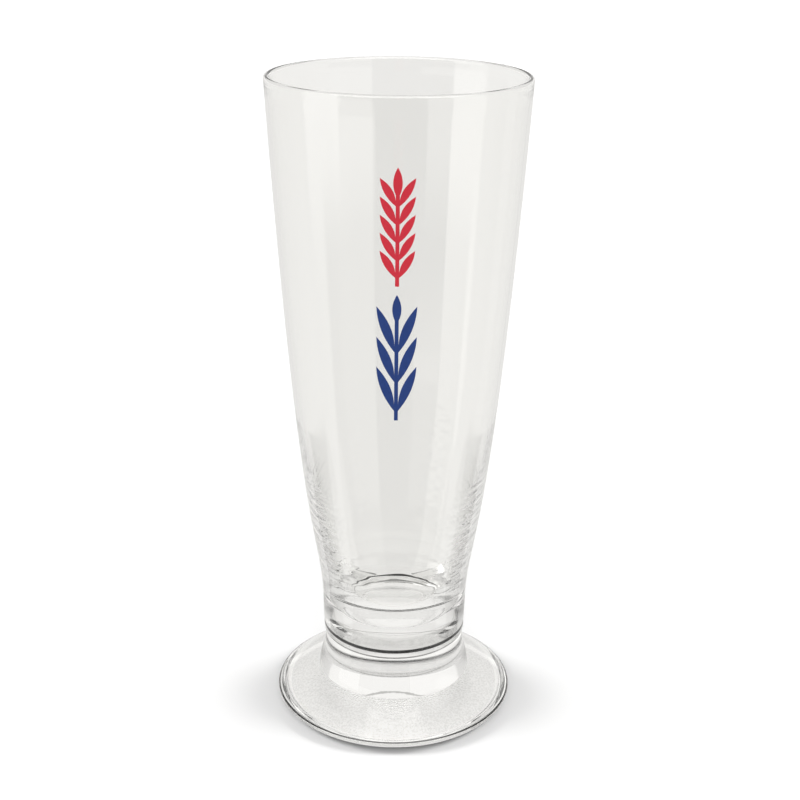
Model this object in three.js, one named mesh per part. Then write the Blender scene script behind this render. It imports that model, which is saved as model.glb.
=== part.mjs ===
// Footed beer glass: a blown bowl with a heavy base, fused to a pressed foot, with a two-colour enamel print.
// Millimetres, +Z up, origin at the centre of the resting plane.
// The glass is turned about Z and the print faces -Y.
import * as THREE from "three";

// Whole glass
const glassHeight = 200;
const rimRadius = 38.1;
const seamHeight = 24.2; // plane in which the bowl and the foot are fused

// Bowl, outside: a neck that tapers to the seam, then one long flare up to the rim
const neckRadius = 22.65;
const flareStart = 28; // height at which the flare's curve starts
const flarePull = 33.9; // reach of the flare's handle straight up from the neck
const rimPull = 159.7; // drop of the flare's handle below the rim
const rimLean = 9.1; // how far that handle lies inside the rim
const neckTop = 37; // below this height the neck tapers
const bowlSeamRadius = 22.5;
const neckTaper = 1.6; // how soon the neck is full again above the seam
const seamRounding = 0.22; // edges at the seam, drawn in by the flame

// Bowl, inside: thin wall above, heavier below, a rounded cup and a small floor
const sideWall = 1.15;
const heelTop = 98; // the wall grows thicker below this height
const heelBottom = 49; // and the cup starts at this one
const heelWall = 3.4; // wall at the heel's bottom
const heelGrowth = 1.2; // how late the wall grows on its way down
const cupPull = 7.1; // reach of the handles that round the cup
const cupAngle = 50; // from upright, where the cup meets the floor
const floorHeight = 31;
const floorRadius = 10.4;
const floorDish = 0.2;

// Rim: a fire-polished bead that runs out into the wall
const beadRadius = 0.95;
const beadRunOut = 7;

// Foot: a solid neck, a cove, a shallow dome and a rounded lip, hollowed slightly underneath
const footSeamRadius = 21.8;
const footNeckRadius = 22.3; // where the neck turns into the cove
const coveTop = 19.4;
const coveRadius = 24.2; // edge where the cove meets the dome
const coveHeight = 10.8;
const coveFlat = 0.18; // reach of the cove's handles, as shares of its width and height
const coveUpright = 0.43;
const domeBulge = 0.3;
const footInset = 0.3; // the foot is this much narrower than the rim all round
const lipRoll = 1.4; // from the widest ring in to the edge where the dome starts
const shoulderHeight = 4.2;
const lipHeight = 3.2; // height of the widest ring
const lipUndercut = 4.3; // from the widest ring in to the resting ring
const undercutPull = 1.6; // height of the handle that rounds the lip's underside
const restWidth = 1.8;
const hollowDepth = 3.6;
const hollowFlat = 0.73; // reach of the hollow's flat middle, as a share of its radius

// Print: a barley ear over a leafy stalk, in two colours of enamel
const printGap = 0.3; // clearance between the enamel and the wall
const enamelThickness = 0.3;
const stemWidth = 1.1;
const earDrop = 18.6; // from the rim down to the top of the ear
const earHeight = 33;
const stalkGap = 2.4; // bare stretch between the ear and the stalk
const stalkHeight = 38;
const grain = { length: 8, width: 2, angle: 32, root: 1.6, first: 2.5, pitch: 5, pairs: 5 };
const leaf = { length: 13.5, width: 2.5, angle: 22, root: 2, first: 3, pitch: 9, pairs: 3 };
const tipLength = 7.5; // the single grain or bud on top of a stem
const tipWidth = 2.2;

// Colours and gloss
const blownGlass = { color: "#e9ebe8", roughness: 0.03 };
const pressedGlass = { color: "#e6e8e5", roughness: 0.05 };
const redEnamel = { color: "#d3263c", roughness: 0.35 };
const blueEnamel = { color: "#1f3f86", roughness: 0.35 };

// Fineness of the mesh
const turnSegments = 64; // facets around the axis
const neckSegments = 3;
const flareSegments = 16;
const beadSegments = 6;
const runOutSegments = 3;
const sideSegments = 6;
const heelSegments = 6;
const cupSegments = 7;
const floorSegments = 2;
const hollowSegments = 5;
const underSegments = 4;
const lipSegments = 3;
const domeSegments = 4;
const coveSegments = 7;
const bladeSegments = 6;
const halvings = 40;
const samePoint = 1e-6;

const { lerp, degToRad } = THREE.MathUtils;
const point = (radius, height) => new THREE.Vector2(radius, height);

// Joins runs of profile points and leaves out a point that repeats the one before it.
function joinRuns(...runs) {
  const joined = [];
  for (const next of runs.flat()) {
    const last = joined.at(-1);
    if (!last || last.distanceTo(next) > samePoint) joined.push(next);
  }
  return joined;
}

// Points along a curve with one handle, and along one with two.
const sweep = (from, pull, to, count) => new THREE.QuadraticBezierCurve(from, pull, to).getPoints(count);
const bend = (from, out, back, to, count) => new THREE.CubicBezierCurve(from, out, back, to).getPoints(count);

// Turns a closed profile about the Z axis.
function turned(profile) {
  return new THREE.LatheGeometry(profile, turnSegments).rotateX(Math.PI / 2);
}

const beadHeight = glassHeight - beadRadius;
const flare = new THREE.CubicBezierCurve(
  point(neckRadius, flareStart),
  point(neckRadius, flareStart + flarePull),
  point(rimRadius - rimLean, beadHeight - rimPull),
  point(rimRadius, beadHeight),
);

// The flare's radius at a height, found by halving.
function flareRadius(height) {
  let low = 0;
  let high = 1;
  for (let step = 0; step < halvings; step++) {
    const middle = (low + high) / 2;
    if (flare.getPoint(middle).y < height) low = middle;
    else high = middle;
  }
  return flare.getPoint(low).x;
}

// The bowl's outside radius at a height: the flare, and the tapered neck below it.
function outerRadius(height) {
  if (height >= neckTop) return flareRadius(height);
  const share = (height - seamHeight) / (neckTop - seamHeight);
  return lerp(bowlSeamRadius, flareRadius(neckTop), 1 - (1 - share) ** neckTaper);
}

// The bowl's inside radius at a height: the wall is even above the heel and grows thicker down it.
function innerRadius(height) {
  const share = Math.max((heelTop - height) / (heelTop - heelBottom), 0);
  return outerRadius(height) - lerp(sideWall, heelWall, share ** heelGrowth);
}

// Points on the wall between two heights, at the radius that a function gives.
function wallRun(radiusAt, from, to, count) {
  return Array.from({ length: count + 1 }, (_, step) => {
    const height = lerp(from, to, step / count);
    return point(radiusAt(height), height);
  });
}

function bowlGeometry() {
  const base = [
    point(0, seamHeight),
    point(bowlSeamRadius - seamRounding, seamHeight),
  ];
  const neck = wallRun(outerRadius, seamHeight + seamRounding, neckTop, neckSegments);
  const wall = wallRun(outerRadius, neckTop, beadHeight, flareSegments);
  const bead = new THREE.EllipseCurve(
    rimRadius - beadRadius, beadHeight, beadRadius, beadRadius, 0, Math.PI,
  ).getPoints(beadSegments);
  const runOutEnd = glassHeight - beadRunOut;
  const runOutMiddle = (runOutEnd + glassHeight) / 2;
  const runOut = sweep(
    point(rimRadius - 2 * beadRadius, beadHeight),
    point(innerRadius(runOutMiddle), runOutMiddle),
    point(innerRadius(runOutEnd), runOutEnd),
    runOutSegments,
  );
  const side = wallRun(innerRadius, runOutEnd, heelTop, sideSegments);
  const heel = wallRun(innerRadius, heelTop, heelBottom, heelSegments);
  const cupStart = heel.at(-1);
  const cupEnd = point(floorRadius, floorHeight);
  const wallDown = point(cupStart.x - innerRadius(heelBottom + cupPull), -cupPull).normalize();
  const wallUp = point(Math.sin(degToRad(cupAngle)), Math.cos(degToRad(cupAngle)));
  const cup = bend(
    cupStart,
    cupStart.clone().addScaledVector(wallDown, cupPull),
    cupEnd.clone().addScaledVector(wallUp, cupPull),
    cupEnd,
    cupSegments,
  );
  const floorMiddle = floorHeight - floorDish;
  const floor = sweep(cupEnd, point(floorRadius / 2, floorMiddle), point(0, floorMiddle), floorSegments);
  return turned(joinRuns(base, neck, wall, bead, runOut, side, heel, cup, floor));
}

function footGeometry() {
  const footRadius = rimRadius - footInset;
  const restRadius = footRadius - lipUndercut;
  const hollowRadius = restRadius - restWidth;
  const widest = point(footRadius, lipHeight);
  const shoulder = point(footRadius - lipRoll, shoulderHeight);
  const coveEdge = point(coveRadius, coveHeight);
  const neckEnd = point(footNeckRadius, coveTop);
  const slope = coveEdge.clone().sub(shoulder).normalize();
  const bulge = point(slope.y, -slope.x).multiplyScalar(2 * domeBulge);
  const crown = shoulder.clone().lerp(coveEdge, 0.5).add(bulge);
  const hollowReach = point(hollowRadius * hollowFlat, hollowDepth);
  const coveOut = point(
    lerp(coveRadius, footNeckRadius, coveFlat), lerp(coveHeight, coveTop, (1 - coveFlat) / 2),
  );
  const coveDown = point(
    lerp(footNeckRadius, coveRadius, (1 - coveUpright) / 2), lerp(coveTop, coveHeight, coveUpright),
  );
  return turned(
    joinRuns(
      sweep(point(0, hollowDepth), hollowReach, point(hollowRadius, 0), hollowSegments),
      sweep(point(restRadius, 0), point(footRadius, undercutPull), widest, underSegments),
      sweep(widest, point(footRadius, (lipHeight + shoulderHeight) / 2), shoulder, lipSegments),
      sweep(shoulder, crown, coveEdge, domeSegments),
      bend(coveEdge, coveOut, coveDown, neckEnd, coveSegments),
      [point(footSeamRadius, seamHeight - seamRounding), point(footSeamRadius - seamRounding, seamHeight)],
      [point(0, seamHeight)],
    ),
  );
}

// Outline of a stem with pairs of pointed blades and a pointed tip: up its right side and down its left.
function sprigShape(blade, bottom, height) {
  const side = stemWidth / 2;
  const tilt = degToRad(blade.angle);
  const along = point(Math.sin(tilt), Math.cos(tilt));
  const across = point(Math.cos(tilt), -Math.sin(tilt)).multiplyScalar(blade.width);
  const bases = Array.from({ length: blade.pairs }, (_, pair) => bottom + blade.first + pair * blade.pitch);
  const shape = new THREE.Shape();
  const curve = (hand, pull, end) => shape.quadraticCurveTo(hand * pull.x, pull.y, hand * end.x, end.y);
  const drawBlade = (hand, base) => {
    const under = point(side, base);
    const over = point(side, base + blade.root);
    const heart = under.clone().lerp(over, 0.5);
    const tip = heart.clone().addScaledVector(along, blade.length);
    const middle = heart.lerp(tip, 0.5);
    const rising = hand > 0;
    const first = rising ? under : over;
    const last = rising ? over : under;
    const outward = rising ? 1 : -1;
    shape.lineTo(hand * first.x, first.y);
    curve(hand, middle.clone().addScaledVector(across, outward), tip);
    curve(hand, middle.clone().addScaledVector(across, -outward), last);
  };
  const top = bottom + height;
  const tipMiddle = top - tipLength / 2;
  shape.moveTo(-side, bottom);
  shape.lineTo(side, bottom);
  bases.forEach((base) => drawBlade(1, base));
  shape.lineTo(side, top - tipLength);
  curve(1, point(tipWidth, tipMiddle), point(0, top));
  curve(-1, point(tipWidth, tipMiddle), point(side, top - tipLength));
  bases.reverse().forEach((base) => drawBlade(-1, base));
  return shape;
}

// Lays a flat enamel outline round the bowl: across becomes an angle, up stays up, thickness points outwards.
function printGeometry(shape) {
  const geometry = new THREE.ExtrudeGeometry(shape, {
    depth: enamelThickness,
    bevelEnabled: false,
    curveSegments: bladeSegments,
  });
  const position = geometry.getAttribute("position");
  for (let i = 0; i < position.count; i++) {
    const height = position.getY(i);
    const wall = outerRadius(height);
    const turn = position.getX(i) / wall;
    const reach = wall + printGap + position.getZ(i);
    position.setXYZ(i, reach * Math.sin(turn), -reach * Math.cos(turn), height);
  }
  geometry.computeVertexNormals();
  return geometry;
}

function piece(name, geometry, finish) {
  const mesh = new THREE.Mesh(geometry, new THREE.MeshStandardMaterial({ ...finish, metalness: 0 }));
  mesh.name = name;
  return mesh;
}

const earBottom = glassHeight - earDrop - earHeight;
const stalkBottom = earBottom - stalkGap - stalkHeight;

const glass = new THREE.Group();
glass.add(
  piece("bowl", bowlGeometry(), blownGlass),
  piece("foot", footGeometry(), pressedGlass),
  piece("red_print", printGeometry(sprigShape(grain, earBottom, earHeight)), redEnamel),
  piece("blue_print", printGeometry(sprigShape(leaf, stalkBottom, stalkHeight)), blueEnamel),
);

export default glass;
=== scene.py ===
"""Looks of a footed beer glass: blown bowl, pressed foot and a two-colour enamel print."""
import logging
import math
from dataclasses import dataclass
from enum import Enum
from functools import lru_cache
from typing import Any

import bpy
from mathutils import Matrix, Vector, noise


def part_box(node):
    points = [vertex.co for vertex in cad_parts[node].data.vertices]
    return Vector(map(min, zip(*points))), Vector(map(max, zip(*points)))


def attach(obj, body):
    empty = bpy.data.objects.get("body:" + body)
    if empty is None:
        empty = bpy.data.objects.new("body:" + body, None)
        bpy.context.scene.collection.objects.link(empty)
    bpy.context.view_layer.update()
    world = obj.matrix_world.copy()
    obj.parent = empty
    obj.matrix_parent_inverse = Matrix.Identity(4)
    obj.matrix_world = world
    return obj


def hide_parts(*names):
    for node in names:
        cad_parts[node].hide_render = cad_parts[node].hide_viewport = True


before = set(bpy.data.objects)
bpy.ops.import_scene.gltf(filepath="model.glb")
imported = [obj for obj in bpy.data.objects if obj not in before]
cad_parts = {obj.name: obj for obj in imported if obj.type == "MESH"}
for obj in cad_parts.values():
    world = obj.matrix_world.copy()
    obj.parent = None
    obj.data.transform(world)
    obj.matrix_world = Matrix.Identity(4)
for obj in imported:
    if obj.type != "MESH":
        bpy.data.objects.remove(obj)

LOG = logging.getLogger("beer_glass")
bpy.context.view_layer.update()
BODY = "root"
MM = 0.001  # every size below is in millimetres, and the meshes are in metres
SAME_POINT = 1e-5  # mm, within which two points of an outline are one
HAIR = 0.002  # mm, by which a face may lie outside its bounds
MERGE_DISTANCE = 2e-6  # m
HEIGHT_DIGITS = 4  # of the millimetres by which a height is looked up
SHARPEST = 40.0  # degrees, past which an edge of the glass stays sharp

WHITE = (1.0, 1.0, 1.0, 1.0)

Point = tuple[float, float]


class Make(Enum):
    """How a piece of glass was shaped, which decides the relief of its skin."""

    BLOWN = "blown"
    PRESSED = "pressed"
    STIPPLED = "stippled"


class Ink(Enum):
    """The two enamels of the print, by the node that each one replaces."""

    RED = "red_print"
    BLUE = "blue_print"


def linear(hex_colour: str) -> tuple[float, float, float, float]:
    """Turns an sRGB hex colour into linear light.

    Args:
        hex_colour: Colour such as "#d3263c".

    Returns:
        Linear red, green, blue and an alpha of 1.
    """
    shares = [int(hex_colour[i:i + 2], 16) / 255 for i in (1, 3, 5)]
    red, green, blue = (s / 12.92 if s <= 0.04045 else ((s + 0.055) / 1.055) ** 2.4 for s in shares)
    return red, green, blue, 1.0


def add_node(tree: bpy.types.NodeTree, kind: str, inputs: dict[Any, Any] | None = None,
             **settings: Any) -> bpy.types.Node:
    """Adds one shader node with its settings and links.

    Args:
        tree: Node tree that gets the node.
        kind: Blender's name for the node's type.
        inputs: Value, or another node's output, for each input by name or number.
        **settings: The node's own settings, such as operation.

    Returns:
        The new node.
    """
    node = tree.nodes.new(kind)
    for name, value in settings.items():
        setattr(node, name, value)
    for name, value in (inputs or {}).items():
        if isinstance(value, bpy.types.NodeSocket):
            tree.links.new(value, node.inputs[name])
        else:
            node.inputs[name].default_value = value
    return node


def new_material(name: str) -> bpy.types.Material:
    """Adds a material with an empty node tree.

    Args:
        name: The material's name.

    Returns:
        The new material.
    """
    material = bpy.data.materials.new(name)
    material.use_nodes = True
    material.node_tree.nodes.clear()
    return material


def curve_points(handles: list[Point], steps: int) -> list[Point]:
    """Gives points along a Bezier curve of any degree.

    Args:
        handles: The curve's control points.
        steps: Number of stretches between its ends.

    Returns:
        Points from the first handle to the last.
    """
    points = []
    for step in range(steps + 1):
        rest = [Vector(handle) for handle in handles]
        while len(rest) > 1:
            rest = [a.lerp(b, step / steps) for a, b in zip(rest, rest[1:])]
        points.append((rest[0].x, rest[0].y))
    return points


def heights(low: float, high: float, steps: int) -> list[float]:
    """Gives evenly spaced heights from low to high."""
    return [low + (high - low) * step / steps for step in range(steps + 1)]


def join_runs(*runs: list[Point]) -> list[Point]:
    """Joins runs of points and leaves out a point that repeats the one before it.

    Args:
        *runs: Runs of points, in order.

    Returns:
        One run of them all.
    """
    joined: list[Point] = []
    for point in (p for run in runs for p in run):
        if not joined or math.dist(joined[-1], point) > SAME_POINT:
            joined.append(point)
    return joined


def smooth_share(value: float, low: float, high: float) -> float:
    """Rises smoothly from 0 at low to 1 at high."""
    share = min(max((value - low) / (high - low), 0.0), 1.0)
    return share * share * (3 - 2 * share)


def draw_chain(name: str, corners: list[Vector]) -> bpy.types.Object:
    """Draws an open chain of edges by extruding one vertex from corner to corner.

    Args:
        name: Name of the new object.
        corners: Corners of the chain, in millimetres.

    Returns:
        The new object, in edit mode with its last vertex selected.
    """
    bpy.ops.object.select_all(action="DESELECT")
    bpy.ops.mesh.primitive_plane_add(size=MM)
    piece = bpy.context.object
    piece.name = piece.data.name = name
    bpy.ops.object.mode_set(mode="EDIT")
    bpy.ops.mesh.select_mode(type="VERT")
    bpy.ops.mesh.merge(type="CENTER")
    bpy.ops.transform.translate(value=corners[0] * MM)
    for start, end in zip(corners, corners[1:]):
        bpy.ops.mesh.extrude_vertices_move(TRANSFORM_OT_translate={"value": (end - start) * MM})
    return piece


def spin_outline(name: str, outline: list[Point], segments: int) -> bpy.types.Object:
    """Turns an outline that starts and ends on the axis into a closed body.

    Args:
        name: Name of the new piece.
        outline: Radius and height of each point, in millimetres.
        segments: Facets round the axis.

    Returns:
        The turned piece, with its faces pointing out of the glass.
    """
    piece = draw_chain(name, [Vector((0, -radius, height)) for radius, height in outline])
    bpy.ops.mesh.select_all(action="SELECT")
    bpy.ops.mesh.spin(steps=segments, angle=math.tau, center=(0, 0, 0), axis=(0, 0, 1))
    bpy.ops.mesh.select_all(action="SELECT")
    bpy.ops.mesh.remove_doubles(threshold=MERGE_DISTANCE)
    bpy.ops.mesh.normals_make_consistent(inside=False)
    bpy.ops.object.mode_set(mode="OBJECT")
    return piece


def smooth_faces(piece: bpy.types.Object, sharpest: float) -> None:
    """Shades a piece smooth, apart from its sharp edges.

    Args:
        piece: Piece to shade.
        sharpest: Angle past which an edge stays sharp, in degrees.
    """
    bpy.ops.object.select_all(action="DESELECT")
    piece.select_set(True)
    bpy.context.view_layer.objects.active = piece
    bpy.ops.object.shade_smooth_by_angle(angle=math.radians(sharpest))


def dress_faces(piece: bpy.types.Object, material: bpy.types.Material, low: float, high: float,
                ring: tuple[float, float] = (0.0, math.inf)) -> None:
    """Gives a material to the faces that lie wholly between two heights and two radii.

    Args:
        piece: Piece that has its main material already.
        material: Material of those faces.
        low: Lower height, in millimetres.
        high: Upper height.
        ring: Inner and outer radius.
    """
    piece.data.materials.append(material)
    slot = len(piece.data.materials) - 1
    inside = [
        low - HAIR < v.co.z / MM < high + HAIR and ring[0] - HAIR < v.co.xy.length / MM < ring[1] + HAIR
        for v in piece.data.vertices
    ]
    for face in piece.data.polygons:
        if all(inside[i] for i in face.vertices):
            face.material_index = slot


def seat(piece: bpy.types.Object, node: str) -> None:
    """Lets a finished piece stand for its CAD node.

    Args:
        piece: The dressed piece, in place.
        node: CAD node that it replaces.
    """
    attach(piece, BODY)
    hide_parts(node)
    LOG.info("%s: %d faces, for node %s", piece.name, len(piece.data.polygons), node)


@dataclass(frozen=True)
class GlassFinish:
    """Clear soda-lime glass. It bends and mirrors the studio, and its skin tells how it was made."""

    name: str
    make: Make
    tint: str = "#fefefd"
    ior: float = 1.52
    roughness: float = 0.0
    relief_width: float = 16.0  # mm between the skin's waves or grains
    relief_height: float = 0.004  # mm
    grain: float = 2.0  # octaves of fine detail that an iron mould leaves
    pits: str | None = None  # tint of the grains that turn light away
    pit_range: Point = (0.4, 0.6)  # share of the relief where pits end and clear glass starts

    def material(self) -> bpy.types.Material:
        """Makes the glass.

        Blown glass is fire-polished, with slow waves that sway the reflections. Pressed glass keeps a fine
        grain from the iron mould, which breaks the light on the foot into a faint shimmer. The stippled
        underside scatters what is seen through it into an even grey.

        Returns:
            A see-through material with relief from object coordinates.
        """
        material = new_material(self.name)
        tree = material.node_tree
        place = add_node(tree, "ShaderNodeTexCoord").outputs["Object"]
        relief = add_node(tree, "ShaderNodeTexNoise", {
            "Vector": place,
            "Scale": 1 / (self.relief_width * MM),
            "Detail": 0.0 if self.make is Make.BLOWN else self.grain,
        })
        skin = add_node(tree, "ShaderNodeBump", {
            "Height": relief.outputs[0],
            "Distance": self.relief_height * MM,
        })
        colour: Any = linear(self.tint)
        if self.pits:
            ramp = add_node(tree, "ShaderNodeValToRGB", {"Fac": relief.outputs[0]})
            for stop, share, tint in zip(ramp.color_ramp.elements, self.pit_range, (self.pits, self.tint)):
                stop.position, stop.color = share, linear(tint)
            colour = ramp.outputs[0]
        glass = add_node(tree, "ShaderNodeBsdfPrincipled", {
            "Base Color": colour,
            "Roughness": self.roughness,
            "IOR": self.ior,
            "Transmission Weight": 1.0,
            "Normal": skin.outputs[0],
        })
        add_node(tree, "ShaderNodeOutputMaterial", {"Surface": glass.outputs[0]})
        return material


@dataclass(frozen=True)
class FusedSeam:
    """The plane in which hot bowl and hot foot became one: light crosses it as if it weren't there."""

    name: str = "fused_glass_seam"

    def material(self) -> bpy.types.Material:
        """Makes the seam's clear material.

        Returns:
            A material that light passes straight through.
        """
        material = new_material(self.name)
        clear = add_node(material.node_tree, "ShaderNodeBsdfTransparent")
        add_node(material.node_tree, "ShaderNodeOutputMaterial", {"Surface": clear.outputs[0]})
        return material


@dataclass(frozen=True)
class EnamelFinish:
    """Ceramic enamel, screen-printed and fired on: dense flat colour, soft gloss, a slightly uneven film."""

    name: str
    thin: str
    dense: str
    roughness: float = 0.32
    ior: float = 1.55
    mottle_width: float = 1.6  # mm, drawn coarser than a printing screen so that it shows
    mottle_detail: float = 3.0
    film_height: float = 0.012  # mm

    def material(self) -> bpy.types.Material:
        """Makes the enamel: its colour wavers between a thin and a dense film.

        Returns:
            An opaque material with colour and relief from object coordinates.
        """
        material = new_material(self.name)
        tree = material.node_tree
        place = add_node(tree, "ShaderNodeTexCoord").outputs["Object"]
        film = add_node(tree, "ShaderNodeTexNoise", {
            "Vector": place,
            "Scale": 1 / (self.mottle_width * MM),
            "Detail": self.mottle_detail,
        }).outputs[0]
        ramp = add_node(tree, "ShaderNodeValToRGB", {"Fac": film})
        for stop, colour in zip(ramp.color_ramp.elements, (self.thin, self.dense)):
            stop.color = linear(colour)
        skin = add_node(tree, "ShaderNodeBump", {"Height": film, "Distance": self.film_height * MM})
        enamel = add_node(tree, "ShaderNodeBsdfPrincipled", {
            "Base Color": ramp.outputs[0],
            "Roughness": self.roughness,
            "IOR": self.ior,
            "Normal": skin.outputs[0],
        })
        add_node(tree, "ShaderNodeOutputMaterial", {"Surface": enamel.outputs[0]})
        return material


@dataclass(frozen=True)
class Flare:
    """The bowl's outside: a neck that tapers to the seam and one long curve from it to the rim."""

    rim_radius: float
    rim_height: float  # at the middle of the bead
    seam_height: float
    neck_radius: float = 22.65
    seam_radius: float = 22.5
    neck_top: float = 37.0
    start: float = 28.0
    pull: float = 33.9
    rim_pull: float = 159.7
    rim_lean: float = 9.1
    taper: float = 1.6  # how soon the neck reaches its full width above the seam
    fineness: int = 2000  # stretches of the curve in which radii are looked up

    def curve(self, steps: int) -> list[Point]:
        """Gives points of the long curve.

        Args:
            steps: Number of stretches between its ends.

        Returns:
            Points from its start to the rim.
        """
        return curve_points([
            (self.neck_radius, self.start),
            (self.neck_radius, self.start + self.pull),
            (self.rim_radius - self.rim_lean, self.rim_height - self.rim_pull),
            (self.rim_radius, self.rim_height),
        ], steps)

    @lru_cache(maxsize=None)
    def table(self) -> list[Point]:
        """Keeps close points of the long curve, to look radii up in."""
        return self.curve(self.fineness)

    @lru_cache(maxsize=None)
    def radius(self, height: float) -> float:
        """Finds how wide the bowl is outside.

        Args:
            height: Height above the table.

        Returns:
            Outside radius there.
        """
        if height < self.neck_top:
            share = (height - self.seam_height) / (self.neck_top - self.seam_height)
            full = self.radius(self.neck_top)
            return self.seam_radius + (full - self.seam_radius) * (1 - (1 - share) ** self.taper)
        points = self.table()
        low, high = 0, len(points) - 1
        while high - low > 1:
            middle = (low + high) // 2
            low, high = (middle, high) if points[middle][1] < height else (low, middle)
        (r0, z0), (r1, z1) = points[low], points[high]
        return r0 + (r1 - r0) * (height - z0) / (z1 - z0)


@dataclass
class Bowl:
    """Blown bowl: thin flared wall, fire-polished rim, heavy rippled heel over a small cavity floor."""

    flare: Flare
    joint_radius: float  # of the disc in which the bowl is fused to the foot
    finish: GlassFinish = GlassFinish("blown_soda_lime_glass", Make.BLOWN)
    # the tool's line is glass tinted near black: painted shade for a dark band of bent light in the neck
    tool_line_shade_finish: GlassFinish = GlassFinish("painted_shade_on_bowl_tool_line", Make.BLOWN, tint="#0a0a0a")
    # the seam groove is glass tinted grey: painted shade for the dark line of bent light at the seam
    seam_shade_finish: GlassFinish = GlassFinish("painted_shade_on_bowl_seam", Make.BLOWN, tint="#606060")
    segments: int = 224
    side_wall: float = 1.15
    heel_top: float = 98.0
    heel_bottom: float = 49.0
    heel_wall: float = 3.4
    heel_growth: float = 1.2  # how late the wall grows on its way down
    cup_pull: float = 7.1  # reach of the handles that round the cup
    cup_angle: float = 50.0  # from upright, where the cup meets the floor
    floor_height: float = 31.0
    floor_radius: float = 10.4
    floor_dish: float = 0.2
    bead_radius: float = 0.95
    bead_run_out: float = 7.0
    groove: float = 0.25
    tool_height: float = 26.7  # of the line that the shaping tool left above the seam, tinted near black there as painted shade
    tool_depth: float = 0.12
    tool_width: float = 1.2
    tool_fall: float = 0.375  # share of the width within which the line's depth falls to a third
    ripple_pitch: float = 1.25  # height of one chill ripple in the heel
    ripple_length: float = 6.0  # and how far it runs round the wall
    ripple_depth: float = 0.3
    ripple_top: float = 84.0
    ripple_low: float = 38.0
    ripple_fade: float = 8.0
    ripple_calm: float = 0.02  # share of the depth that is left at front and back
    ripple_focus: int = 5  # how closely the rest keeps to both sides
    ripple_seed: float = 3.7
    groove_rings: int = 6
    neck_rings: int = 105
    side_rings: int = 90
    bead_rings: int = 16
    run_out_rings: int = 10
    thin_rings: int = 30
    heel_rings: int = 130
    cup_rings: int = 40
    floor_rings: int = 8

    @property
    def top(self) -> float:
        """Height of the rim."""
        return self.flare.rim_height + self.bead_radius

    def wall(self, height: float) -> float:
        """Gives the wall's thickness at a height: even above, then ever thicker down the heel."""
        share = max((self.heel_top - height) / (self.heel_top - self.heel_bottom), 0.0)
        return self.side_wall + (self.heel_wall - self.side_wall) * share ** self.heel_growth

    def inner(self, height: float) -> float:
        """Gives the inside radius at a height."""
        return self.flare.radius(height) - self.wall(height)

    def tool_line(self, height: float) -> float:
        """Gives the depth of the tool's line at a height."""
        away = (height - self.tool_height) / (self.tool_fall * self.tool_width)
        return self.tool_depth * math.exp(-away ** 2)

    def outline(self) -> list[Point]:
        """Draws the bowl's section.

        Returns:
            Points from the middle of the seam, round the rim, to the middle of the floor.
        """
        seam, rim, bead = self.flare.seam_height, self.flare.rim_radius, self.bead_radius
        low = self.flare.radius(seam + 2 * self.groove)
        base = [(0.0, seam), (self.joint_radius, seam)] + curve_points([
            (low - self.groove, seam), (low, seam), (low, seam + 2 * self.groove)], self.groove_rings)
        neck = [(self.flare.radius(z) - self.tool_line(z), z)
                for z in heights(seam + 2 * self.groove, self.flare.neck_top, self.neck_rings)]
        side = [(self.flare.radius(z), z)
                for z in heights(self.flare.neck_top, self.flare.rim_height, self.side_rings)]
        middle = rim - bead
        lip = [(middle + bead * math.cos(a), self.flare.rim_height + bead * math.sin(a))
               for a in heights(0, math.pi, self.bead_rings)]
        end = self.top - self.bead_run_out
        pull = (end + self.top) / 2
        run_out = curve_points([
            (rim - 2 * bead, self.flare.rim_height), (self.inner(pull), pull), (self.inner(end), end),
        ], self.run_out_rings)
        thin = [(self.inner(z), z) for z in heights(end, self.heel_top, self.thin_rings)]
        heel = [(self.inner(z), z) for z in heights(self.heel_top, self.heel_bottom, self.heel_rings)]
        start, edge = Vector(heel[-1]), Vector((self.floor_radius, self.floor_height))
        down = Vector((start.x - self.inner(self.heel_bottom + self.cup_pull), -self.cup_pull)).normalized()
        lean = math.radians(self.cup_angle)
        up = Vector((math.sin(lean), math.cos(lean)))
        cup = curve_points([
            tuple(start), tuple(start + down * self.cup_pull), tuple(edge + up * self.cup_pull), tuple(edge),
        ], self.cup_rings)
        deep = self.floor_height - self.floor_dish
        floor = curve_points([
            (self.floor_radius, self.floor_height), (self.floor_radius / 2, deep), (0.0, deep),
        ], self.floor_rings)
        return join_runs(base, neck, side, lip, run_out, thin, heel, cup, floor)

    def ripple(self, piece: bpy.types.Object) -> None:
        """Chills ripples into the inside of the heel: short uneven dents, deepest at the left and right.

        Args:
            piece: The turned bowl.
        """
        for vertex in piece.data.vertices:
            x, y, z = vertex.co / MM
            reach = math.hypot(x, y)
            height = round(z, HEIGHT_DIGITS)
            if not self.ripple_low < height < self.ripple_top:
                continue
            if reach > self.flare.radius(height) - self.wall(height) / 2:
                continue
            depth = self.ripple_depth * smooth_share(self.ripple_top - height, 0, self.ripple_fade)
            depth *= smooth_share(height, self.ripple_low, self.ripple_low + self.ripple_fade)
            depth *= self.ripple_calm + (1 - self.ripple_calm) * abs(x / reach) ** self.ripple_focus
            across = Vector((x, y)).normalized() * self.flare.neck_radius / self.ripple_length
            grain = noise.noise(Vector((across.x, across.y, height / self.ripple_pitch + self.ripple_seed)))
            push = (reach + depth * grain) / reach
            vertex.co.x *= push
            vertex.co.y *= push

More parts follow.
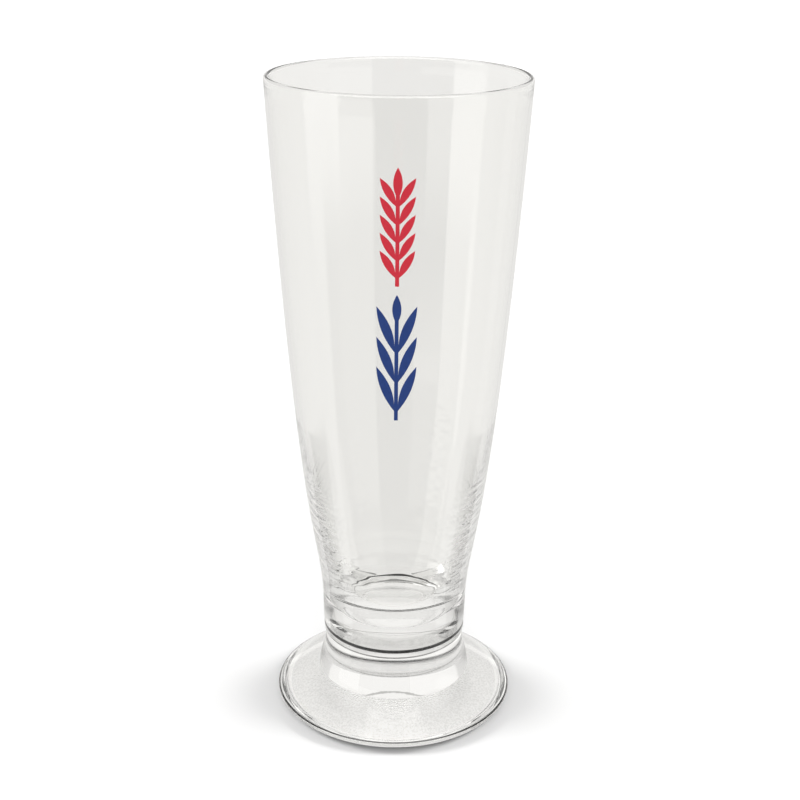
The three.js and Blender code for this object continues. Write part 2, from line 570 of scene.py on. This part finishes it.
    def build(self) -> bpy.types.Object:
        """Turns, ripples and dresses the bowl.

        Returns:
            The finished piece.
        """
        piece = spin_outline("glass_bowl", self.outline(), self.segments)
        self.ripple(piece)
        smooth_faces(piece, SHARPEST)
        piece.data.materials.append(self.finish.material())
        seam, half = self.flare.seam_height, self.tool_width / 2
        line = (self.tool_height - half, self.tool_height + half)
        skin = (self.joint_radius, self.flare.neck_radius)
        dress_faces(piece, FusedSeam("fused_seam_of_bowl").material(), seam, seam, (0, self.joint_radius))
        # painted shade: grey-tinted glass on the seam groove
        dress_faces(piece, self.seam_shade_finish.material(), seam, seam + 2 * self.groove, skin)
        # painted shade: near-black glass on the tool's line
        dress_faces(piece, self.tool_line_shade_finish.material(), *line, skin)
        piece.visible_shadow = False  # the thin clear wall lets the lamps' light through
        seat(piece, "bowl")
        return piece


@dataclass
class Foot:
    """Pressed foot: solid neck, cove, shallow dome and rounded lip, hollowed underneath."""

    radius: float
    seam_height: float
    finish: GlassFinish = GlassFinish(
        "pressed_soda_lime_glass", Make.PRESSED, relief_width=1.1, relief_height=0.001)
    underside: GlassFinish = GlassFinish(
        "stippled_soda_lime_glass", Make.STIPPLED, roughness=0.3, relief_width=0.55, relief_height=0.04,
        pits="#d8d8d6")
    # the seam groove is glass tinted grey: painted shade for the dark line of bent light at the seam
    seam_shade_finish: GlassFinish = GlassFinish("painted_shade_on_foot_seam", Make.PRESSED, tint="#606060")
    # a ring in the cove is glass tinted grey: painted shade for a dark line of bent light
    cove_shade_finish: GlassFinish = GlassFinish("painted_shade_ring_in_cove", Make.PRESSED, tint="#9c9c9a")
    # a ring round the lip is glass tinted near black: painted shade for the dark edge of the lip
    lip_shade_finish: GlassFinish = GlassFinish("painted_shade_round_foot_lip", Make.PRESSED, tint="#0a0a0a")
    segments: int = 224
    seam_radius: float = 21.82
    neck_radius: float = 22.32
    groove: float = 0.22
    cove_top: float = 19.4
    cove_radius: float = 24.23
    cove_height: float = 10.8
    cove_flat: float = 0.18
    cove_upright: float = 0.43
    dome_bulge: float = 0.3
    shoulder_inset: float = 1.4
    shoulder_height: float = 4.2
    lip_height: float = 3.2
    undercut: float = 4.3
    undercut_pull: float = 1.6  # height of the handle that rounds the lip's underside
    rest_width: float = 1.8
    hollow_depth: float = 3.66
    hollow_flat: float = 0.73
    polish_radius: float = 14.9  # the middle of the hollow is clear
    cove_shade_ring: Point = (17.6, 18.05)  # heights of a grey ring of painted shade in the cove, for a dark line of bent light
    lip_shade_ring: Point = (3.5, 3.8)  # and of a near-black ring of painted shade round the lip
    hollow_rings: int = 30
    under_rings: int = 14
    over_rings: int = 10
    dome_rings: int = 30
    cove_rings: int = 40
    neck_rings: int = 12
    groove_rings: int = 6

    @property
    def joint_radius(self) -> float:
        """Radius of the disc in which the foot is fused to the bowl."""
        return self.seam_radius - self.groove

    @property
    def rest_radius(self) -> float:
        """Outer radius of the ring that the glass stands on."""
        return self.radius - self.undercut

    @property
    def hollow_radius(self) -> float:
        """Radius of the hollow inside that ring."""
        return self.rest_radius - self.rest_width

    def cove(self) -> list[Point]:
        """Draws the cove.

        Returns:
            Points from the dome's edge up to the neck.
        """
        low, top = (self.cove_radius, self.cove_height), (self.neck_radius, self.cove_top)
        width, rise = low[0] - top[0], top[1] - low[1]
        out = (low[0] - width * self.cove_flat, low[1] + rise * (1 - self.cove_flat) / 2)
        down = (top[0] + width * (1 - self.cove_upright) / 2, top[1] - rise * self.cove_upright)
        return curve_points([low, out, down, top], self.cove_rings)

    def outline(self) -> list[Point]:
        """Draws the foot's section.

        Returns:
            Points from the middle of the hollow, round the lip, to the middle of the seam.
        """
        shoulder = Vector((self.radius - self.shoulder_inset, self.shoulder_height))
        edge = Vector((self.cove_radius, self.cove_height))
        slope = (edge - shoulder).normalized()
        crown = shoulder.lerp(edge, 0.5) + Vector((slope.y, -slope.x)) * 2 * self.dome_bulge
        wide = (self.radius, self.lip_height)
        hollow = curve_points([
            (0.0, self.hollow_depth), (self.hollow_radius * self.hollow_flat, self.hollow_depth),
            (self.hollow_radius, 0.0)], self.hollow_rings)
        under = curve_points([
            (self.rest_radius, 0.0), (self.radius, self.undercut_pull), wide], self.under_rings)
        over = curve_points([
            wide, (self.radius, (self.lip_height + self.shoulder_height) / 2), tuple(shoulder),
        ], self.over_rings)
        dome = curve_points([tuple(shoulder), tuple(crown), tuple(edge)], self.dome_rings)
        seam, groove = self.seam_height, self.groove
        neck = curve_points([
            (self.neck_radius, self.cove_top), (self.seam_radius, seam - 2 * groove)], self.neck_rings)
        top = curve_points([
            (self.seam_radius, seam - 2 * groove), (self.seam_radius, seam), (self.joint_radius, seam),
        ], self.groove_rings)
        return join_runs(hollow, under, over, dome, self.cove(), neck, top, [(0.0, seam)])

    def build(self) -> bpy.types.Object:
        """Turns and dresses the foot.

        Returns:
            The finished piece.
        """
        piece = spin_outline("glass_foot", self.outline(), self.segments)
        smooth_faces(piece, SHARPEST)
        piece.data.materials.append(self.finish.material())
        seam = self.seam_height
        skin = (self.joint_radius, self.radius)
        lip = (self.radius - self.shoulder_inset, self.radius)
        hollow = (self.polish_radius, self.hollow_radius)
        # painted shade: grey-tinted glass on the seam groove
        dress_faces(piece, self.seam_shade_finish.material(), seam - 2 * self.groove, seam, skin)
        # painted shade: grey-tinted glass on a ring in the cove
        dress_faces(piece, self.cove_shade_finish.material(), *self.cove_shade_ring)
        # painted shade: near-black glass on a ring round the lip
        dress_faces(piece, self.lip_shade_finish.material(), *self.lip_shade_ring, lip)
        dress_faces(piece, FusedSeam("fused_seam_of_foot").material(), seam, seam, (0, self.joint_radius))
        dress_faces(piece, self.underside.material(), 0, self.hollow_depth, hollow)
        seat(piece, "foot")
        return piece


@dataclass(frozen=True)
class Blade:
    """One pointed grain or leaf of a sprig, and how its pairs sit on the stem."""

    length: float
    width: float
    angle: float
    root: float
    first: float
    pitch: float
    pairs: int


@dataclass
class Sprig:
    """A printed sprig on the front of the bowl: a stem with pairs of pointed blades and a pointed tip."""

    ink: Ink
    slot: str
    blade: Blade
    bottom: float
    height: float
    finish: EnamelFinish
    flare: Flare
    stem_width: float = 1.1
    tip_length: float = 7.5
    tip_width: float = 2.2
    gap: float = 0.02
    film: float = 0.08
    cell: float = 0.9  # the film is cut this fine so that it follows the wall
    edge_steps: int = 10  # of one side of a blade
    tip_steps: int = 12

    def half(self) -> list[Point]:
        """Draws the right half of the sprig's outline.

        Returns:
            Points from its foot to its tip.
        """
        side, blade = self.stem_width / 2, self.blade
        tilt = math.radians(blade.angle)
        along = Vector((math.sin(tilt), math.cos(tilt)))
        across = Vector((math.cos(tilt), -math.sin(tilt))) * blade.width
        runs = [[(side, self.bottom)]]
        for pair in range(blade.pairs):
            under = Vector((side, self.bottom + blade.first + pair * blade.pitch))
            over = under + Vector((0, blade.root))
            heart = under.lerp(over, 0.5)
            tip = heart + along * blade.length
            middle = heart.lerp(tip, 0.5)
            runs.append(curve_points([tuple(under), tuple(middle + across), tuple(tip)], self.edge_steps))
            runs.append(curve_points([tuple(tip), tuple(middle - across), tuple(over)], self.edge_steps))
        top = self.bottom + self.height
        neck = top - self.tip_length
        runs.append(curve_points([
            (side, neck), (self.tip_width, (neck + top) / 2), (0.0, top)], self.tip_steps))
        return join_runs(*runs)

    def cut(self, low: float, high: float, normal: Vector) -> None:
        """Cuts the whole film at even places along a direction.

        Args:
            low: First place, in millimetres.
            high: Last place.
            normal: Direction of the cuts' normal.
        """
        count = math.ceil((high - low) / self.cell)
        for place in heights(low, high, count)[1:-1]:
            bpy.ops.mesh.select_all(action="SELECT")
            bpy.ops.mesh.bisect(plane_co=normal * place * MM, plane_no=normal)

    def build(self) -> bpy.types.Object:
        """Draws the film flat, gives it its thickness, cuts it fine and lays it on the wall.

        Returns:
            The finished piece.
        """
        right = self.half()
        left = [(-x, z) for x, z in reversed(right[:-1])]
        piece = draw_chain(f"enamel_{self.ink.name.lower()}", [Vector((x, 0, z)) for x, z in right + left])
        bpy.ops.mesh.select_all(action="SELECT")
        bpy.ops.mesh.edge_face_add()
        bpy.ops.mesh.extrude_region_move(TRANSFORM_OT_translate={"value": (0, -self.film * MM, 0)})
        reach = max(x for x, _ in right)
        self.cut(-reach, reach, Vector((1, 0, 0)))
        self.cut(self.bottom, self.bottom + self.height, Vector((0, 0, 1)))
        bpy.ops.mesh.select_all(action="SELECT")
        bpy.ops.mesh.normals_make_consistent(inside=False)
        bpy.ops.object.mode_set(mode="OBJECT")
        for vertex in piece.data.vertices:
            x, y, z = vertex.co / MM
            wall = self.flare.radius(round(z, HEIGHT_DIGITS))
            reach = (wall + self.gap - y) * MM
            vertex.co = (reach * math.sin(x / wall), -reach * math.cos(x / wall), z * MM)
        piece.data.materials.append(self.finish.material())
        seat(piece, self.ink.value)
        return piece


@dataclass(frozen=True)
class SoftBox:
    """A part of the studio's surround with its own light, between two bearings and two elevations in degrees.

    Bearings start at the printed front and grow towards the glass's right.
    """

    bearing: tuple[float, float]
    elevation: tuple[float, float]
    level: float
    soft_side: float = 1.5
    soft_end: float = 6.0
    outside: bool = False  # whether only the glass's outer skin mirrors it


@dataclass(frozen=True)
class Lamp:
    """A broad soft lamp for the matt things, by its bearing, elevation and spread in degrees."""

    name: str
    bearing: float
    elevation: float
    level: float
    spread: float
    casts: bool = True  # a shadow


@dataclass
class Studio:
    """Plain studio: white for the camera, a pale surround with softboxes for the glass, soft lamps."""

    surround: float = 0.9
    room: float = 0.8
    bounce: float = 0.3  # what the surround lends to matt things
    last_mirror: int = 60  # light that was mirrored more often is as pale as the surround
    first_wall: float = 0.5  # light that has crossed fewer walls is still outside the glass
    warmth: str = "#fffefc"
    boxes: tuple[SoftBox, ...] = (
        SoftBox((-184, 184), (-96, -45), 0.95),  # table
        SoftBox((-184, -130), (8, 60), 1.0),  # backdrop
        SoftBox((130, 184), (8, 60), 1.0),
        SoftBox((-184, 184), (60, 96), 1.0),  # ceiling
        SoftBox((-52, 25), (-96, 62), 0.07),  # dark gap in front
        SoftBox((-88, -52), (-18, 60), 1.5),  # window on the left
        SoftBox((25, 92), (-18, 60), 0.85),  # pale wall on the right
        SoftBox((-52, -20), (-22, -9), 0.8, soft_end=2.0),  # desk below the window
        SoftBox((-130, -90), (-44, -30), 0.08, soft_end=2.0),  # dark skirting on both sides
        SoftBox((94, 130), (-44, -30), 0.08, soft_end=2.0),
        SoftBox((-72, 72), (-62, -20), 0.15, soft_end=3.0),  # shade under the table's edge
        SoftBox((-184, -120), (0, 6), 1.5, soft_end=1.5, outside=True),  # light wall behind, for the rim
        SoftBox((120, 184), (0, 6), 1.5, soft_end=1.5, outside=True),
        SoftBox((-184, -100), (7, 60), 0.7, soft_end=2.0, outside=True),  # dim room above it
        SoftBox((100, 184), (7, 60), 0.7, soft_end=2.0, outside=True),
        SoftBox((-70, 70), (35, 80), 4.5, soft_side=25.0, outside=True),  # high lamp in front, for the lip
        SoftBox((-184, 184), (76, 100), 3.0, soft_end=3.0, outside=True),  # lamp overhead, for the foot
    )
    floor_side: float = 8.0  # m
    floor_tone: str = "#f2f2f2"
    floor_lift: float = 0.02  # what the floor glows by itself
    table_radius: float = 33.0
    table_drop: float = 0.3
    table_level: float = 0.95
    table_back: float = 0.72  # level at its far edge
    table_corners: int = 96
    bounces: int = 64  # light that crosses the heel at a slant meets many walls
    clear_bounces: int = 24  # of light straight through the fused seam
    lamp_height: float = 1000.0
    lamps: tuple[Lamp, ...] = (
        Lamp("front_fill", 0, 35, 1.5, 60, casts=False),
        Lamp("left_softlight", -98, 36, 1.75, 26),
        Lamp("right_softlight", 98, 36, 1.75, 26),
    )

    def between(self, tree: bpy.types.NodeTree, value: bpy.types.NodeSocket, low: float, high: float,
                soft: float) -> bpy.types.NodeSocket:
        """Gives 1 where a value lies between two others, with soft ends, and 0 elsewhere.

        Args:
            tree: The world's node tree.
            value: Bearing or elevation.
            low: Where the stretch starts.
            high: Where it ends.
            soft: Half the width of its soft ends.

        Returns:
            Output that holds the share.
        """
        rise = add_node(tree, "ShaderNodeMapRange", {
            "Value": value, "From Min": low - soft, "From Max": low + soft,
        }, interpolation_type="SMOOTHSTEP")
        fall = add_node(tree, "ShaderNodeMapRange", {
            "Value": value, "From Min": high - soft, "From Max": high + soft, "To Min": 1.0, "To Max": 0.0,
        }, interpolation_type="SMOOTHSTEP")
        both = add_node(tree, "ShaderNodeMath", {
            0: rise.outputs[0], 1: fall.outputs[0]}, operation="MULTIPLY")
        return both.outputs[0]

    def light_world(self) -> None:
        """Lights the world: white for the camera, pale through the glass, softboxes where it mirrors."""
        world = bpy.data.worlds.new("studio")
        bpy.context.scene.world = world
        world.use_nodes = True
        tree = world.node_tree
        tree.nodes.clear()
        direction = add_node(tree, "ShaderNodeTexCoord").outputs["Generated"]
        x, y, z = add_node(tree, "ShaderNodeSeparateXYZ", {0: direction}).outputs
        front = add_node(tree, "ShaderNodeMath", {0: y, 1: -1.0}, operation="MULTIPLY").outputs[0]
        turn = add_node(tree, "ShaderNodeMath", {0: x, 1: front}, operation="ARCTAN2").outputs[0]
        bearing = add_node(tree, "ShaderNodeMath", {0: turn}, operation="DEGREES").outputs[0]
        rise = add_node(tree, "ShaderNodeMath", {0: z}, operation="ARCSINE").outputs[0]
        elevation = add_node(tree, "ShaderNodeMath", {0: rise}, operation="DEGREES").outputs[0]
        path = add_node(tree, "ShaderNodeLightPath").outputs
        outside = add_node(tree, "ShaderNodeMath", {
            0: path["Transmission Depth"], 1: self.first_wall}, operation="LESS_THAN")
        level: Any = self.room
        for box in self.boxes:
            side = self.between(tree, bearing, *box.bearing, box.soft_side)
            end = self.between(tree, elevation, *box.elevation, box.soft_end)
            share = add_node(tree, "ShaderNodeMath", {0: side, 1: end}, operation="MULTIPLY")
            if box.outside:
                share = add_node(tree, "ShaderNodeMath", {
                    0: share.outputs[0], 1: outside.outputs[0]}, operation="MULTIPLY")
            level = add_node(tree, "ShaderNodeMix", {0: share.outputs[0], 2: level, 3: box.level}).outputs[0]
        mirrored = add_node(tree, "ShaderNodeMath", {
            0: path["Glossy Depth"], 1: (1 + self.last_mirror) / 2, 2: self.last_mirror / 2,
        }, operation="COMPARE")
        seen = add_node(tree, "ShaderNodeMix", {0: mirrored.outputs[0], 2: self.surround, 3: level})
        lent = add_node(tree, "ShaderNodeMix", {
            0: path["Is Diffuse Ray"], 2: seen.outputs[0], 3: self.bounce})
        pale = add_node(tree, "ShaderNodeBackground", {
            "Color": linear(self.warmth), "Strength": lent.outputs[0]})
        white = add_node(tree, "ShaderNodeBackground", {"Color": WHITE, "Strength": 1.0})
        both = add_node(tree, "ShaderNodeMixShader", {
            0: path["Is Camera Ray"], 1: pale.outputs[0], 2: white.outputs[0]})
        add_node(tree, "ShaderNodeOutputWorld", {"Surface": both.outputs[0]})

    def lay_floor(self) -> None:
        """Lays a pale floor that shows white to the camera and keeps the glass's shadow.

        The glass shows the studio's pale surround in its place, which also lies below the horizon.
        """
        bpy.ops.object.select_all(action="DESELECT")
        bpy.ops.mesh.primitive_plane_add(size=self.floor_side)
        floor = bpy.context.object
        floor.name = floor.data.name = "studio_floor"
        material = new_material("matt_white_paper")
        tree = material.node_tree
        paper = add_node(tree, "ShaderNodeBsdfDiffuse", {"Color": linear(self.floor_tone)})
        seen = add_node(tree, "ShaderNodeLightPath").outputs["Is Camera Ray"]
        lift = add_node(tree, "ShaderNodeMath", {0: seen, 1: self.floor_lift}, operation="MULTIPLY")
        glow = add_node(tree, "ShaderNodeEmission", {"Color": WHITE, "Strength": lift.outputs[0]})
        both = add_node(tree, "ShaderNodeAddShader", {0: paper.outputs[0], 1: glow.outputs[0]})
        add_node(tree, "ShaderNodeOutputMaterial", {"Surface": both.outputs[0]})
        floor.data.materials.append(material)
        floor.visible_glossy = floor.visible_transmission = False

    def lay_table(self) -> None:
        """Lays a disc under the foot that stands for the table as it's lit through the glass.

        Only what is seen through the glass shows it, because the light that glass bundles isn't traced.
        """
        bpy.ops.object.select_all(action="DESELECT")
        bpy.ops.mesh.primitive_circle_add(
            vertices=self.table_corners, radius=self.table_radius * MM, fill_type="NGON",
            location=(0, 0, -self.table_drop * MM))
        table = bpy.context.object
        table.name = table.data.name = "lit_table"
        bpy.ops.object.transform_apply(location=True)
        material = new_material("lit_white_paper")
        tree = material.node_tree
        place = add_node(tree, "ShaderNodeTexCoord").outputs["Object"]
        depth = add_node(tree, "ShaderNodeSeparateXYZ", {0: place}).outputs["Y"]
        level = add_node(tree, "ShaderNodeMapRange", {
            "Value": depth, "From Min": 0.0, "From Max": self.table_radius * MM,
            "To Min": self.table_level, "To Max": self.table_back})
        glow = add_node(tree, "ShaderNodeEmission", {
            "Color": linear(self.warmth), "Strength": level.outputs[0]})
        add_node(tree, "ShaderNodeOutputMaterial", {"Surface": glow.outputs[0]})
        table.data.materials.append(material)
        table.visible_camera = table.visible_diffuse = table.visible_glossy = table.visible_shadow = False

    def hang_lamps(self) -> None:
        """Hangs the soft lamps, which light the enamel and the floor and throw the foot's shadow."""
        for lamp in self.lamps:
            turn = (math.radians(90 - lamp.elevation), 0, math.radians(lamp.bearing))
            bpy.ops.object.light_add(type="SUN", location=(0, 0, self.lamp_height * MM), rotation=turn)
            light = bpy.context.object
            light.name = light.data.name = lamp.name
            light.data.energy = lamp.level
            light.data.angle = math.radians(lamp.spread)
            light.data.use_shadow = lamp.casts
            light.visible_glossy = light.visible_transmission = False

    def set_up(self) -> None:
        """Builds the studio and lets light cross as many glass walls as it meets."""
        self.light_world()
        self.lay_floor()
        self.lay_table()
        self.hang_lamps()
        scene = bpy.context.scene
        scene.view_settings.view_transform = "Standard"
        scene.cycles.max_bounces = self.bounces
        scene.cycles.transmission_bounces = scene.cycles.glossy_bounces = self.bounces
        scene.cycles.transparent_max_bounces = self.clear_bounces
        scene.cycles.caustics_reflective = scene.cycles.caustics_refractive = False


@dataclass
class Viewpoint:
    """The photograph's camera: in front of the print, above the glass, looking down a little."""

    distance: float = 401.44
    height: float = 258.2
    down: float = 21.28  # degrees
    roll: float = 0.528  # degrees
    pan: float = 4.0  # pixels by which the glass stands left of the frame's middle
    focal: float = 1408.5  # pixels
    frame_width: int = 800  # pixels
    sensor: float = 36.0
    near: float = 10.0  # what is nearer isn't drawn

    def place(self) -> None:
        """Puts the camera in place and makes it the scene's own."""
        bpy.ops.object.camera_add(location=Vector((0, -self.distance, self.height)) * MM)
        camera = bpy.context.object
        camera.name = "photo_camera"
        camera.data.sensor_width = self.sensor
        camera.data.lens = self.focal * self.sensor / self.frame_width
        camera.data.clip_start = self.near * MM
        tilt = Matrix.Rotation(math.radians(90 - self.down), 3, "X")
        roll = Matrix.Rotation(math.radians(self.roll), 3, "Z")
        pan = Matrix.Rotation(-self.pan / self.focal, 3, "Y")
        camera.rotation_euler = (tilt @ roll @ pan).to_euler()
        bpy.context.scene.camera = camera


def main() -> None:
    """Builds the glass piece by piece, then the studio and the camera."""
    logging.basicConfig(level=logging.INFO, format="%(name)s: %(message)s")
    bowl_low, bowl_high = (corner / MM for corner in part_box("bowl"))
    foot_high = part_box("foot")[1] / MM
    flare = Flare(rim_radius=bowl_high.x, rim_height=bowl_high.z - Bowl.bead_radius, seam_height=bowl_low.z)
    foot = Foot(radius=foot_high.x, seam_height=foot_high.z)
    Bowl(flare, foot.joint_radius).build()
    foot.build()
    ear_low, ear_high = (corner.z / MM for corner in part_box(Ink.RED.value))
    stalk_low, stalk_high = (corner.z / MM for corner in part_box(Ink.BLUE.value))
    Sprig(
        Ink.RED, "red_enamel", Blade(length=8, width=2, angle=32, root=1.6, first=2.5, pitch=5, pairs=5),
        ear_low, ear_high - ear_low, EnamelFinish("fired_red_enamel", "#c82638", "#ce1e34"), flare,
    ).build()
    Sprig(
        Ink.BLUE, "blue_enamel", Blade(length=13.5, width=2.5, angle=22, root=2, first=3, pitch=9, pairs=3),
        stalk_low, stalk_high - stalk_low, EnamelFinish("fired_blue_enamel", "#1f3f80", "#183474"), flare,
    ).build()
    Studio().set_up()
    Viewpoint().place()


if __name__ == "__main__":
    main()
